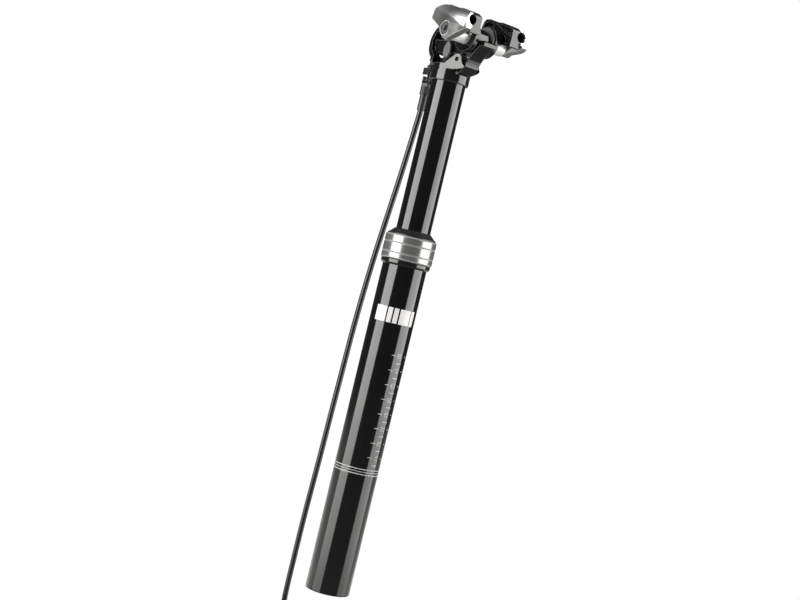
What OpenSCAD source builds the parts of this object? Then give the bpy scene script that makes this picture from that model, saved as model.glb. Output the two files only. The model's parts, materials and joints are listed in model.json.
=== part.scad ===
// Dropper seatpost with a cable pulled at its head, for a bicycle.
// Frame: millimetres, +Z up the post, +Y forward (cable side), +X to the rider's right.
// The origin is the centre of the lower tube's bottom end.

/* [Lower tube] */
// Outer diameter that the frame's seat tube clamps
tube_d = 30.9; // [30:0.1:31.6]
// Bore of the lower tube
tube_bore_d = 27.2; // [26.8:0.1:27.6]
// Length of the lower tube, with the end that the collar covers
tube_len = 246; // [230:1:280]
// Rounded edge at the bottom end
tube_edge = 0.8; // [0.4:0.1:1.2]
// Depth of the three key grooves in the bore
key_groove_depth = 0.8; // [0.5:0.1:1]
// Depth of the step where the collar screws on
thread_step = 0.35; // [0.2:0.05:0.5]

/* [Travel] */
// Distance that the saddle drops
travel = 100; // [60:5:100]
// Shaft left in view above the wiper when fully dropped
drop_gap = 4.2; // [1.5:0.1:6]

/* [Shaft] */
// Outer diameter of the sliding shaft
shaft_d = 24; // [23:0.1:24.4]
// Wall of the sliding shaft
shaft_wall = 1.6; // [1.2:0.1:2]
// Height of the shaft's lower end at full extension
shaft_foot_z = 170; // [160:1:180]

/* [Collar] */
// Outer diameter of the screwed collar
collar_d = 35.7; // [34:0.1:38]
// Height of the collar's bright band
collar_band_h = 16.8; // [14:0.1:20]
// Height of the chamfered skirt under the band
collar_skirt_h = 4; // [2:0.1:5]
// Thickness of the collar's lip over the tube's end
collar_lip_h = 3.3; // [2.5:0.1:4]
// Height of the wiper's cone above the collar
wiper_cone_h = 4.5; // [3:0.1:6]

/* [Gas spring] */
// Diameter of the piston rod
rod_d = 8; // [7:0.1:9]
// Bore of the gas cartridge
cartridge_bore_d = 16.6; // [15:0.1:17]
// Wall of the gas cartridge
cartridge_wall = 1.5; // [1:0.1:1.7]
// Height of the piston
piston_h = 10; // [8:0.5:11]
// Diameter of the valve pin that the lever presses
valve_pin_d = 4; // [3:0.1:5]

/* [Head] */
// Outer diameter of the socket that holds the shaft
socket_d = 27.2; // [26.6:0.1:28.4]
// Depth of the socket
socket_h = 8.5; // [8:0.1:9]
// Thickness of the deck over the shaft's end
deck_h = 3; // [2.5:0.1:3.4]
// Outer radius of the front hoop, seen from the side
hoop_r = 13.2; // [12.6:0.1:13.8]
// Thickness of the front hoop
hoop_t = 2.8; // [2:0.1:3.5]
// Half width of the hoop at its foot
hoop_foot_w = 11; // [9:0.5:12]
// Half width of the hoop at its crest
hoop_crest_w = 7; // [6:0.5:9]
// Width of the spine and the rear strut
spine_w = 11; // [10:0.5:13]
// Distance from the post's axis back to the clamp bolt
setback = 20; // [18:0.5:22]
// Height of the clamp bolt above the socket's lower edge
bolt_rise = 31.6; // [31:0.1:33]
// Diameter of the barrel round the bolt
barrel_d = 14.6; // [13.6:0.1:16]
// Thickness of each pivot ear at its root
ear_t = 5.4; // [5:0.1:6]

/* [Saddle clamp] */
// Tilt of the clamp at rest, rear end down
clamp_tilt = 9; // [0:1:12]
// Diameter of the saddle rails
rail_d = 7; // [6.5:0.1:8]
// Distance between the saddle rails' centres
rail_spacing = 44; // [43:0.5:46]
// Height of the rails' centres above the bolt
rail_rise = 10.5; // [10:0.1:12]
// Length of the clamp jaws
jaw_len = 38.2; // [36:0.2:40]
// Thickness of the outer jaws at the bolt
jaw_t = 6.8; // [6.4:0.1:7.4]
// Diameter of the hubs beside the barrel
hub_d = 20; // [19:0.5:21.5]
// Diameter of the clamp bolt
bolt_d = 5; // [4.6:0.1:5.6]
// Diameter of the bolt's head
bolt_head_d = 8.4; // [8:0.1:8.8]
// Outer diameter of the nut's sleeve
sleeve_d = 7.4; // [7:0.1:8]

/* [Release lever] */
// Diameter of the lever's pivot pin
pivot_d = 3; // [2.5:0.1:3.5]
// Distance from the post's axis back to the pivot pin
pivot_back = 14.6; // [14:0.1:15]
// Height of the pivot pin above the socket's lower edge
pivot_rise = 15.5; // [15.2:0.1:15.8]
// Width of the lever's arm
lever_w = 7; // [5:0.5:8]
// Thickness of the lever's arm
lever_t = 3.5; // [2.5:0.1:4]
// Thickness of the lever's two side wings
wing_t = 1.8; // [1.2:0.1:2]

/* [Cable] */
// Outer diameter of the cable housing
cable_d = 4; // [4:0.1:5]
// Diameter of the steel inner wire
wire_d = 1.2; // [1:0.1:1.6]
// Distance from the socket's wall forward to the wire
cable_gap = 10.9; // [10.4:0.1:12]
// Diameter of the adjuster's grip
adjuster_d = 7; // [6.6:0.1:7.4]
// Length of the adjuster's grip
adjuster_grip_h = 5.7; // [4:0.1:7]
// Diameter of the adjuster's thread
adjuster_thread_d = 3.6; // [3.4:0.1:3.8]
// Diameter of the ferrule on the housing's end
ferrule_d = 5.4; // [5:0.1:5.6]
// Length of the ferrule on the housing's end
ferrule_len = 13; // [10:0.5:16]

/* [Fits] */
// Radial clearance of parts that turn or slide on each other
run_fit = 0.05; // [0.03:0.01:0.08]
// Radial clearance of parts that are fixed in each other
set_fit = 0.02; // [0.01:0.01:0.03]
// Gap between moving parts that don't bear on each other
free_gap = 0.3; // [0.3:0.05:0.5]

/* [Hidden] */
$fn = 64;
e = 0.01;

tube_r = tube_d / 2;
bore_r = tube_bore_d / 2;
thread_end_r = tube_r - thread_step;
shaft_r = shaft_d / 2;
shaft_in_r = shaft_r - shaft_wall;
collar_r = collar_d / 2;
rod_r = rod_d / 2;
cart_bore_r = cartridge_bore_d / 2;
cart_r = cart_bore_r + cartridge_wall;
socket_r = socket_d / 2;
cable_reach = socket_r + cable_gap;
pin_r = valve_pin_d / 2;

// Heights of the collar and the wiper
lip_gap = 1.5;
lip_r = bore_r - 0.4;
wiper_r = collar_r - 0.9;
collar_top_z = tube_len + lip_gap + collar_lip_h;
band_z = collar_top_z - collar_band_h;
collar_foot_z = band_z - collar_skirt_h;
wiper_top_z = collar_top_z + wiper_cone_h;

// Heights of the head, set by the travel
head_z = wiper_top_z + drop_gap + travel;
deck_z = head_z + socket_h;
deck_top_z = deck_z + deck_h;
bolt_y = -setback;
bolt_z = head_z + bolt_rise;
pivot_y = -pivot_back;
pivot_z = head_z + pivot_rise;
hoop_y = 7.9;
hoop_z = bolt_z - 3.5;
socket_y = -socket_r + 5;

// Guides inside the lower tube
foot_flange_h = 5;
key_len = 12;
key_w = 3;
key_sink = 0.8;
key_z = shaft_foot_z + 2;
guide_z = key_z + key_len + 1;
guide_h = 18;
bumper_z = guide_z + guide_h;
bumper_h = 4;
upper_bush_z = bumper_z + bumper_h + free_gap;
key_angles = [90, 210, 330];

// Gas spring, from the bottom plug up
plug_z = 0.8;
plug_top_z = 13;
screw_r = 2.5;
screw_head_r = 4.5;
screw_head_h = 3.8;
screw_seat_z = 5;
screw_top_z = 24;
gland_z = shaft_foot_z + 8;
gland_h = 12;
cart_z = gland_z + gland_h;
piston_z = cart_z + 6;
piston_top_z = piston_z + piston_h;
cart_top_z = piston_top_z + travel + 6;
spigot_r = rod_r - 1;
seal_r = 0.6;
valve_h = 30;
valve_top_z = cart_top_z + valve_h;
valve_neck_r = 7;

// Cable stop and adjuster, hung from the socket's lower edge
stop_pad_w = 6;
stop_pad_y = socket_r + 1.4;
stop_pad_t = 3;
stop_pad_h = 8;
stop_w = 2.5;
stop_back_wall = 3.6;
stop_front_wall = 1;
stop_back_y = cable_reach - 5.5;
stop_front_y = cable_reach + 2.9;
stop_arm_h = 3;
stop_plate_z = head_z - 1.5;
stop_plate_h = 2;
stop_wall_top = head_z + 3.4;
stop_screw_z = head_z + 5.8;
stop_screw_r = 1.5;
stop_screw_head_r = 2;
stop_screw_head_h = 1.5;
stop_seat_y = stop_pad_y + stop_pad_t - stop_screw_head_h;
thread_r = adjuster_thread_d / 2;
locknut_h = 2.1;
locknut_z = stop_plate_z - locknut_h - 0.1;
grip_z = locknut_z - 0.1 - adjuster_grip_h;
ferrule_seat = 2;
ferrule_top_z = grip_z + ferrule_seat;
ferrule_z = ferrule_top_z - ferrule_len;
wire_bore_r = wire_d / 2 + 0.4;
wire_foot_z = ferrule_z + 3.2;

// Lever, its tip and the wire's anchor
lever_z = deck_top_z + 2;
tip_shoulder_z = head_z + 6.8;
tip_top_z = tip_shoulder_z + 2.4;
cheek_drop = 2.4;
cheek_in = stop_w + free_gap;
cheek_t = 0.7;
tip_back_y = cable_reach - 5.1;
tip_front_y = cable_reach + 3;
crank_y = tip_back_y + 2.5;
anchor_h = 2.6;
tip_hole_r = wire_d / 2 + 1.1;
anchor_r = 2.4;
slot_half = lever_w / 2 + 0.7;
ear_in = lever_w / 2 + 3.4;
ear_boss_r = 3.5;

// Saddle clamp, in its own frame: bolt axis at the origin, +Y forward, +Z up
rail_x = rail_spacing / 2;
rail_r = rail_d / 2;
jaw_front = jaw_len * 0.56;
jaw_rear = jaw_len - jaw_front;
jaw_slant = 3.2;
jaw_top = rail_rise + rail_r + 1.6;
cradle_top = jaw_top + 0.7;
grip_gap = 0.4;
barrel_r = barrel_d / 2;
hub_r = hub_d / 2;
hub_flange_t = 1.5;
cradle_hub_r = hub_r - 1.4;
hub_disc_r = hub_r + 1;
hub_disc_t = 3.2;
cone_x = spine_w / 2 + 0.2;
cone_r = 6;
hub_x = cone_x + hub_flange_t + set_fit;
cradle_x = 13.9;
cradle_out = rail_x - grip_gap;
plate_in = rail_x + grip_gap;
jaw_out = plate_in + jaw_t;
bush_r = 4.5;
bush_grip = 4;
washer_t = 0.8;
hex_r = 2.3;
bolt_r = bolt_d / 2;
sleeve_r = sleeve_d / 2;
pocket_r = bolt_head_d / 2 + 0.4;
pocket_rim = 0.6;
left_drop = 7.3;
right_drop = 4.4;
pocket_floor = jaw_out - 4.2;

// Cable route, measured from the ferrule's lower end, down to the coil
cable_route = [
    [0, 0, 0], [0, 0, -2.2], [0, 0.7, -10], [0, 1.6, -18.5], [0, 3.1, -32],
    [0, 5.2, -49.4], [0, 7.7, -67.5], [0, 10.2, -85.5], [0, 12.5, -102.5], [0, 14.4, -119.5],
    [0, 15.9, -136], [0, 17.1, -152.5], [0, 17.9, -168], [0, 18.4, -183], [0, 19, -200],
    [0, 19.6, -217], [0, 20.1, -233], [0, 20.6, -250.5], [0, 21.3, -268], [0, 22, -284],
    [0, 22.5, -298], [0, 22.8, -315], [0, 22.9, -332], [0, 23, -349], [0.6, 23.3, -361.2],
    [2.2, 23.9, -371.2], [4.8, 25.4, -379.2], [8, 27.8, -385.7], [11.2, 31.5, -390.4], [13.8, 36.1, -392.8],
    [15.5, 40.7, -393.2], [16, 44.5, -393.2]
];
cable_start = [0, cable_reach, ferrule_z];
route_end = cable_start + cable_route[len(cable_route) - 1];
coil_out_r = 35.5;
coil_centre = [route_end[0] - coil_out_r, route_end[1]];
coil_floor = route_end[2];
coil_turns = 4.1;
coil_pitch = 4.7;
coil_lift = 4.5;
coil_rings = 24;
coil_short = 1.45;
tie_angle = 200;
tie_w = 5;
tie_t = 0.8;
end_len = 12;
nipple_len = 5;

// Shapes that repeat

// A tube between two heights
module ring(r_out, r_in, z0, z1) {
    translate([0, 0, z0])
        difference() {
            cylinder(r = r_out, h = z1 - z0);
            translate([0, 0, -e]) cylinder(r = r_in, h = z1 - z0 + 2 * e);
        }
}

// An upright rod between two heights
module rod(r, z0, z1) {
    translate([0, 0, z0]) cylinder(r = r, h = z1 - z0);
}

// A round ring of round section
module o_ring(r_mid, r_wire, z) {
    translate([0, 0, z]) rotate_extrude() translate([r_mid, 0]) circle(r = r_wire);
}

// A profile drawn in [y, z], carried across from x0 to x1
module across(x0, x1) {
    translate([x0, 0, 0]) rotate([90, 0, 90]) linear_extrude(x1 - x0) children();
}

// A profile drawn in [x, z], carried forward from y0 to y1
module forward(y0, y1) {
    translate([0, y1, 0]) rotate([90, 0, 0]) linear_extrude(y1 - y0) children();
}

// A rod along x at [y, z]
module cross_rod(r, x0, x1, y, z) {
    translate([x0, y, z]) rotate([0, 90, 0]) cylinder(r = r, h = x1 - x0);
}

// Points of a cubic curve between two ends with two handles
function curve(a, b, c, d, n = 10) = [
    for (i = [0:n]) let (t = i / n, s = 1 - t)
        s * s * s * a + 3 * s * s * t * b + 3 * s * t * t * c + t * t * t * d
];

// Puts the clamp's own frame on the post
module on_clamp() {
    translate([0, bolt_y, bolt_z]) rotate([clamp_tilt, 0, 0]) children();
}

// Lower post

module lower_tube() {
    color([0.06, 0.06, 0.065])
    difference() {
        rotate_extrude()
            polygon([
                [bore_r, tube_edge], [bore_r + tube_edge / 2, 0], [tube_r - tube_edge, 0],
                [tube_r - tube_edge * 0.3, tube_edge * 0.3], [tube_r, tube_edge],
                [tube_r, collar_foot_z], [thread_end_r, collar_foot_z],
                [thread_end_r, tube_len], [bore_r, tube_len]
            ]);
        for (a = key_angles)
            rotate([0, 0, a])
                translate([0, -key_w / 2 - run_fit, key_z - travel - 4])
                    cube([bore_r + key_groove_depth, key_w + 2 * run_fit, travel + key_len + 8]);
    }
}

module bottom_plug() {
    color([0.12, 0.12, 0.12])
    difference() {
        rod(bore_r - set_fit, plug_z, plug_top_z);
        rod(screw_r + run_fit, plug_z - e, plug_top_z + e);
        rod(screw_head_r + 0.4, plug_z - e, screw_seat_z);
        ring(bore_r - 1.8, screw_head_r + 2.4, plug_z - e, plug_top_z - 4);
    }
}

module foot_screw() {
    color([0.6, 0.6, 0.62]) {
        difference() {
            rod(screw_head_r, screw_seat_z - screw_head_h, screw_seat_z);
            translate([0, 0, screw_seat_z - screw_head_h - e]) cylinder(r = 2.3, h = 2.2, $fn = 6);
        }
        rod(screw_r, screw_seat_z, screw_top_z);
    }
}

module piston_rod() {
    color([0.8, 0.8, 0.82])
    difference() {
        union() {
            rod(rod_r, plug_top_z, piston_z);
            rod(spigot_r, piston_z, piston_top_z);
        }
        rod(screw_r + set_fit, plug_top_z - e, screw_top_z + 2);
    }
}

module piston() {
    color([0.75, 0.68, 0.5])
    difference() {
        ring(cart_bore_r - run_fit, spigot_r + set_fit, piston_z, piston_top_z);
        ring(cart_bore_r + 1, cart_bore_r - 2.2 * seal_r - 0.1, piston_z + piston_h / 2 - seal_r - 0.1,
             piston_z + piston_h / 2 + seal_r + 0.1);
    }
}

module piston_seal() {
    color([0.05, 0.05, 0.05])
        o_ring(cart_bore_r - seal_r - 0.1, seal_r, piston_z + piston_h / 2);
}

module upper_guide_bush() {
    color([0.35, 0.3, 0.2])
        ring(bore_r - set_fit, shaft_r + run_fit, upper_bush_z, tube_len);
}

module collar() {
    groove = 0.35;
    skirt_r = tube_r + 0.6;
    color([0.75, 0.75, 0.76])
        rotate_extrude()
            polygon([
                [thread_end_r + set_fit, collar_foot_z], [skirt_r, collar_foot_z],
                [collar_r - 0.7, collar_foot_z + 1.4], [collar_r - 0.7, band_z - 0.5],
                [collar_r - 0.3, band_z], [collar_r, band_z + 0.4],
                each collar_groove(0.26, groove), each collar_groove(0.67, groove),
                [collar_r, collar_top_z - 0.5], [collar_r - 0.5, collar_top_z],
                [lip_r, collar_top_z], [lip_r, collar_top_z - collar_lip_h],
                [thread_end_r + set_fit, collar_top_z - collar_lip_h]
            ]);
}

// A thin groove round the collar at a share of the band's height
function collar_groove(share, depth) = let (z = band_z + collar_band_h * share) [
    [collar_r, z - depth], [collar_r - depth, z - depth / 3],
    [collar_r - depth, z + depth / 3], [collar_r, z + depth]
];

module collar_o_ring() {
    color([0.05, 0.05, 0.05])
        o_ring((thread_end_r + bore_r) / 2, lip_gap / 2 - set_fit, tube_len + lip_gap / 2);
}

module wiper_seal() {
    in_r = shaft_r + run_fit;
    color([0.08, 0.08, 0.08])
        rotate_extrude()
            polygon([
                [in_r, tube_len + set_fit], [lip_r - set_fit, tube_len + set_fit],
                [lip_r - set_fit, collar_top_z + set_fit], [wiper_r, collar_top_z + set_fit],
                [wiper_r, collar_top_z + 0.7], [wiper_r - 1.3, collar_top_z + 1.5],
                [shaft_r + 1.4, wiper_top_z - 0.8], [shaft_r + 0.5, wiper_top_z], [in_r, wiper_top_z - 0.6]
            ]);
}

// Sliding shaft and what it carries inside

module shaft() {
    color([0.05, 0.05, 0.055])
    difference() {
        ring(shaft_r, shaft_in_r, shaft_foot_z, deck_z);
        for (a = key_angles)
            rotate([0, 0, a])
                translate([shaft_r - key_sink, -key_w / 2 - set_fit, key_z - set_fit])
                    cube([key_sink * 2, key_w + 2 * set_fit, key_len + 2 * set_fit]);
    }
}

module shaft_foot() {
    spigot = shaft_in_r - set_fit;
    inside = spigot - 1.8;
    rim = bore_r - 0.5;
    low = shaft_foot_z - foot_flange_h;
    edge = 0.6;
    color([0.5, 0.5, 0.52])
        rotate_extrude()
            polygon([
                [inside, low + edge], [inside + edge, low], [rim - edge, low], [rim, low + edge],
                [rim, shaft_foot_z], [spigot, shaft_foot_z], [spigot, gland_z], [inside, gland_z]
            ]);
}

module anti_rotation_keys() {
    color([0.78, 0.62, 0.28])
    for (a = key_angles)
        rotate([0, 0, a])
            translate([shaft_r - key_sink, -key_w / 2, key_z])
                cube([bore_r + key_groove_depth - run_fit - shaft_r + key_sink, key_w, key_len]);
}

module lower_guide_bush() {
    color([0.35, 0.3, 0.2])
        ring(bore_r - run_fit, shaft_r + set_fit, guide_z, bumper_z);
}

module top_out_bumper() {
    color([0.1, 0.1, 0.1])
        ring(bore_r - 0.3, shaft_r + set_fit, bumper_z, bumper_z + bumper_h);
}

module cartridge_gland() {
    color([0.55, 0.55, 0.57])
    difference() {
        union() {
            ring(shaft_in_r - set_fit, rod_r + run_fit, gland_z, cart_z);
            ring(cart_bore_r - set_fit, rod_r + run_fit, cart_z - e, cart_z + 4);
        }
        ring(rod_r + 2.2 * seal_r + 0.1, rod_r - 1, gland_z + gland_h / 2 - seal_r - 0.1,
             gland_z + gland_h / 2 + seal_r + 0.1);
    }
}

module rod_seal() {
    color([0.05, 0.05, 0.05])
        o_ring(rod_r + seal_r + 0.1, seal_r, gland_z + gland_h / 2);
}

module cartridge_body() {
    color([0.65, 0.65, 0.67])
        ring(cart_r, cart_bore_r, cart_z, cart_top_z);
}

module valve_body() {
    color([0.55, 0.55, 0.57])
    difference() {
        union() {
            rod(cart_r, cart_top_z, valve_top_z);
            rod(valve_neck_r, valve_top_z - e, deck_z);
        }
        rod(pin_r + run_fit, valve_top_z - 12, deck_z + 1);
    }
}

module valve_pin() {
    tip_z = lever_z - set_fit;
    foot_z = valve_top_z - 10.5;
    color([0.8, 0.8, 0.82]) {
        rod(pin_r, foot_z, tip_z - pin_r);
        translate([0, 0, tip_z - pin_r]) sphere(r = pin_r);
    }
}

// Head

// Side view of the beam under the barrel, the tail and the curved rear strut
module spine_outline() {
    beam_top = bolt_z - 2.8;
    beam_low = bolt_z - 11.5;
    tail_y = bolt_y - 16;
    tail_top = bolt_z - 2;
    tail_low = bolt_z - 5.4;
    front = hoop_y + hoop_r - hoop_t;
    polygon([
        [front + 0.6, beam_top], [bolt_y + barrel_r, beam_top], [bolt_y - barrel_r, tail_top],
        [tail_y + 1, tail_top], [tail_y, tail_top - 1], [tail_y + 0.4, tail_low],
        each curve([bolt_y - 11, tail_low], [bolt_y - 7.5, bolt_z - 8.9], [bolt_y - 2, bolt_z - 15.1],
                   [bolt_y - 1, deck_top_z]),
        [bolt_y + 3.7, deck_top_z - 4.4], [bolt_y + 6.4, deck_top_z - 5.5],
        [socket_y, deck_top_z - 5.5], [socket_y, deck_top_z],
        each curve([bolt_y + 1.5, deck_top_z + 0.5], [bolt_y - 0.3, deck_top_z + 2.2],
                   [bolt_y - 1.5, bolt_z - 14.7], [bolt_y - 6, beam_low + 1.4], 8),
        [bolt_y + 10, beam_low], [front - 4, beam_low], [front - 1.4, beam_low + 2.4]
    ]);
}

// Side view of the hoop: a ring over the beam, open below it, on a foot that leans out
module hoop_side() {
    in_r = hoop_r - hoop_t;
    share = 0.57;
    back = hoop_y + hoop_r * share;
    out_low = hoop_z - sqrt(pow(hoop_r, 2) - pow(hoop_r * share, 2));
    in_low = hoop_z - sqrt(pow(in_r, 2) - pow(hoop_r * share, 2));
    translate([hoop_y, hoop_z])
        difference() {
            circle(r = hoop_r);
            circle(r = in_r);
            translate([-2 * hoop_r, -2 * hoop_r]) square([2 * hoop_r + back - hoop_y, 2 * hoop_r]);
        }
    polygon([
        [socket_r - hoop_t, deck_z - 4], [socket_r, deck_z - 2], [socket_r - 0.4, deck_top_z],
        [socket_r - 1.1, deck_top_z + 3.5], [back + 0.2, out_low], [back + 0.2, in_low],
        [socket_r - hoop_t - 0.3, deck_top_z + 5.6], [socket_r - hoop_t - 0.9, deck_top_z + 3]
    ]);
}

// Front view of the hoop: drawn in at its root, wide over the deck, and rounded at its crest
module hoop_outline() {
    crest = hoop_z + hoop_r;
    low_w = hoop_crest_w + 1;
    root_w = hoop_foot_w - 2.6;
    flare_z = deck_top_z + 1.6;
    round_h = 3.5;
    polygon([
        [-root_w, head_z + 2], [root_w, head_z + 2], [root_w, deck_top_z - 1],
        each curve([hoop_foot_w, flare_z], [hoop_foot_w, deck_top_z + 5], [low_w + 0.6, hoop_z - 7],
                   [low_w, hoop_z]),
        each curve([hoop_crest_w, crest - round_h], [hoop_crest_w - 1, crest], [2, crest], [0, crest], 6),
        each curve([0, crest], [-2, crest], [1 - hoop_crest_w, crest], [-hoop_crest_w, crest - round_h], 6),
        each curve([-low_w, hoop_z], [-low_w - 0.6, hoop_z - 7], [-hoop_foot_w, deck_top_z + 5],
                   [-hoop_foot_w, flare_z]),
        [-root_w, deck_top_z - 1]
    ]);
}

module hoop() {
    intersection() {
        across(-2 * hoop_foot_w, 2 * hoop_foot_w) hoop_side();
        forward(-2 * hoop_r, 3 * hoop_r) hoop_outline();
    }
}

// Side view of an ear that carries the lever's pin and runs out to a point behind
module ear_outline() {
    polygon([
        [pivot_y + 12, deck_z], [pivot_y + 12, deck_top_z], [pivot_y + 8.6, deck_top_z + 0.4],
        [pivot_y + 7.2, pivot_z - 1.8], [pivot_y + 2.6, pivot_z + 2.3], [pivot_y - 2.6, pivot_z + 2.3],
        each curve([pivot_y - 3.3, pivot_z + 1], [pivot_y - 4, pivot_z - 1.6], [pivot_y - 5, pivot_z - 3],
                   [pivot_y - 7, pivot_z - 4.4], 6),
        each curve([pivot_y - 6.8, pivot_z - 5.2], [pivot_y - 5, pivot_z - 6.2], [pivot_y - 2, pivot_z - 6.8],
                   [pivot_y + 3.6, deck_z - 0.2], 6)
    ]);
}

// Top view of the right ear, which thins out to the rear
module ear_plan() {
    root_y = pivot_y + 10.6;
    polygon([
        [ear_in, root_y + 6], [ear_in + ear_t, root_y + 6], [ear_in + ear_t, root_y],
        [ear_in, pivot_y - 7.4]
    ]);
}

module ear() {
    intersection() {
        union() {
            across(ear_in, ear_in + ear_t) ear_outline();
            cross_rod(ear_boss_r, ear_in, ear_in + ear_t, pivot_y, pivot_z);
        }
        translate([0, 0, head_z]) linear_extrude(bolt_rise) ear_plan();
    }
}

module head() {
    half = spine_w / 2;
    color([0.07, 0.07, 0.075])
    difference() {
        union() {
            // Socket, with the pad that carries the cable stop
            rotate_extrude()
                polygon([
                    [0, head_z], [socket_r - 0.5, head_z], [socket_r, head_z + 0.5],
                    [socket_r, deck_z - 1.5], [socket_r - 0.3, deck_z], [socket_r - 0.3, deck_top_z],
                    [0, deck_top_z]
                ]);
            forward(0, stop_pad_y)
                translate([-stop_pad_w, head_z]) square([2 * stop_pad_w, stop_pad_h]);
            hoop();
            across(-half, half) spine_outline();
            cross_rod(barrel_r, -half, half, bolt_y, bolt_z);
            ear();
            mirror([1, 0, 0]) ear();
        }
        // Bore for the shaft, and the hole for the valve pin
        rod(shaft_r + set_fit, head_z - e, deck_z);
        rod(pin_r + 0.5, deck_z - e, deck_top_z + e);
        // Bore of the barrel, for the clamp's bush
        cross_rod(bush_r + run_fit, -spine_w, spine_w, bolt_y, bolt_z);
        // Holes for the pivot pin
        cross_rod(pivot_d / 2 + set_fit, -socket_r, socket_r, pivot_y, pivot_z);
        // Way for the lever through the hoop's foot
        translate([-slot_half, 6, deck_top_z - 0.4]) cube([2 * slot_half, 20, 8.4]);
        // Room for the lever's boss between the ears
        translate([-ear_in, pivot_y - 4, pivot_z - 4.2]) cube([2 * ear_in, 8, 8.2]);
        // Hole for the cable stop's screw
        translate([0, shaft_r, stop_screw_z])
            rotate([-90, 0, 0]) cylinder(r = stop_screw_r + set_fit, h = 6);
    }
}

module pivot_pin() {
    reach = ear_in + ear_t * 0.3;
    color([0.7, 0.7, 0.72])
        cross_rod(pivot_d / 2, -reach, reach, pivot_y, pivot_z);
}

// Release lever

// Side view of the arm, cranked down to the wire at its tip
module lever_outline() {
    polygon([
        [pivot_y, lever_z], [tip_back_y, lever_z], [tip_back_y, tip_shoulder_z], [crank_y, tip_shoulder_z],
        [crank_y, tip_top_z],
        each curve([crank_y, lever_z], [crank_y, lever_z + lever_t], [tip_back_y, lever_z + lever_t],
                   [tip_back_y - 4, lever_z + lever_t], 6),
        [pivot_y + 6, lever_z + lever_t], [pivot_y, pivot_z + 2.8]
    ]);
}

// Side view of the tip's cap, and of the cheeks that hang from it beside the cable stop
module tip_outline(low) {
    polygon([
        [tip_back_y, low], [tip_front_y - 0.6, low], [tip_front_y, low + 0.6],
        each curve([tip_front_y, tip_shoulder_z + 1], [tip_front_y, tip_top_z],
                   [tip_front_y - 0.4, tip_top_z], [tip_front_y - 1.2, tip_top_z], 6),
        [tip_back_y, tip_top_z]
    ]);
}

// Side view of a wing, a leaf that stands up beside the beam
module wing_outline() {
    polygon([
        [-2.8, lever_z], [-2.8, lever_z + 3],
        each curve([-2.8, lever_z + 3], [-4.6, lever_z + 7], [-5, lever_z + 12], [-0.4, lever_z + 14.2], 8),
        each curve([-0.4, lever_z + 14.2], [2.6, lever_z + 12], [4.6, lever_z + 6], [0.8, lever_z + 3], 8),
        [0.8, lever_z]
    ]);
}

module release_lever() {
    half = lever_w / 2;
    boss_half = ear_in - 0.2;
    boss_r = ear_boss_r - 0.4;
    wing_x = spine_w / 2 + 1.6;
    color([0.3, 0.3, 0.31])
    difference() {
        union() {
            across(-half, half) lever_outline();
            across(-cheek_in - cheek_t, cheek_in + cheek_t) tip_outline(tip_shoulder_z);
            for (x = [-cheek_in - cheek_t, cheek_in])
                across(x, x + cheek_t) tip_outline(tip_shoulder_z - cheek_drop);
            cross_rod(boss_r, -boss_half, boss_half, pivot_y, pivot_z);
            translate([-wing_x - wing_t, -2.8, lever_z])
                cube([2 * (wing_x + wing_t), 3.6, lever_t * 0.7]);
            for (x = [-wing_x - wing_t, wing_x])
                across(x, x + wing_t) wing_outline();
        }
        cross_rod(pivot_d / 2 + run_fit, -socket_r, socket_r, pivot_y, pivot_z);
        translate([0, cable_reach, tip_shoulder_z - e]) cylinder(r = tip_hole_r, h = 10);
    }
}

module wire_anchor() {
    color([0.15, 0.15, 0.15])
    translate([0, cable_reach, 0])
        difference() {
            union() {
                rod(anchor_r, tip_top_z, tip_top_z + anchor_h - 0.6);
                translate([0, 0, tip_top_z + anchor_h - 0.6])
                    cylinder(r1 = anchor_r, r2 = anchor_r - 0.6, h = 0.6);
            }
            rod(tip_hole_r, tip_top_z - e, tip_top_z + 1.4);
        }
}

// Cable stop, adjuster and wire

module cable_stop() {
    wall_h = stop_wall_top - stop_plate_z;
    color([0.1, 0.1, 0.1])
    difference() {
        union() {
            forward(stop_pad_y, stop_pad_y + stop_pad_t)
                translate([-stop_pad_w, head_z]) square([2 * stop_pad_w, stop_pad_h]);
            forward(stop_pad_y + stop_pad_t - e, stop_back_y + e)
                translate([-stop_w, head_z]) square([2 * stop_w, stop_arm_h]);
            forward(stop_back_y, stop_back_y + stop_back_wall)
                translate([-stop_w, stop_plate_z]) square([2 * stop_w, wall_h]);
            forward(stop_front_y - stop_front_wall, stop_front_y)
                translate([-stop_w, stop_plate_z]) square([2 * stop_w, wall_h]);
            forward(stop_back_y, stop_front_y)
                translate([-stop_w, stop_plate_z]) square([2 * stop_w, stop_plate_h]);
        }
        translate([0, cable_reach, 0])
            rod(thread_r + run_fit, stop_plate_z - e, stop_plate_z + stop_plate_h + e);
        translate([0, stop_pad_y - 1, stop_screw_z])
            rotate([-90, 0, 0]) cylinder(r = stop_screw_r + set_fit, h = stop_pad_t + 2);
        // Seat that lets the screw's head in flush
        translate([0, stop_seat_y, stop_screw_z])
            rotate([-90, 0, 0]) cylinder(r = stop_screw_head_r + 0.2, h = stop_pad_t);
    }
}

module stop_screw() {
    foot = shaft_r + 0.6;
    color([0.55, 0.55, 0.57])
    difference() {
        union() {
            translate([0, foot, stop_screw_z])
                rotate([-90, 0, 0]) cylinder(r = stop_screw_r, h = stop_seat_y - foot);
            translate([0, stop_seat_y, stop_screw_z])
                rotate([-90, 0, 0]) cylinder(r = stop_screw_head_r, h = stop_screw_head_h);
        }
        translate([0, stop_seat_y + stop_screw_head_h - 0.9, stop_screw_z])
            rotate([-90, 0, 0]) cylinder(r = 1.1, h = 2, $fn = 6);
    }
}

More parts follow.
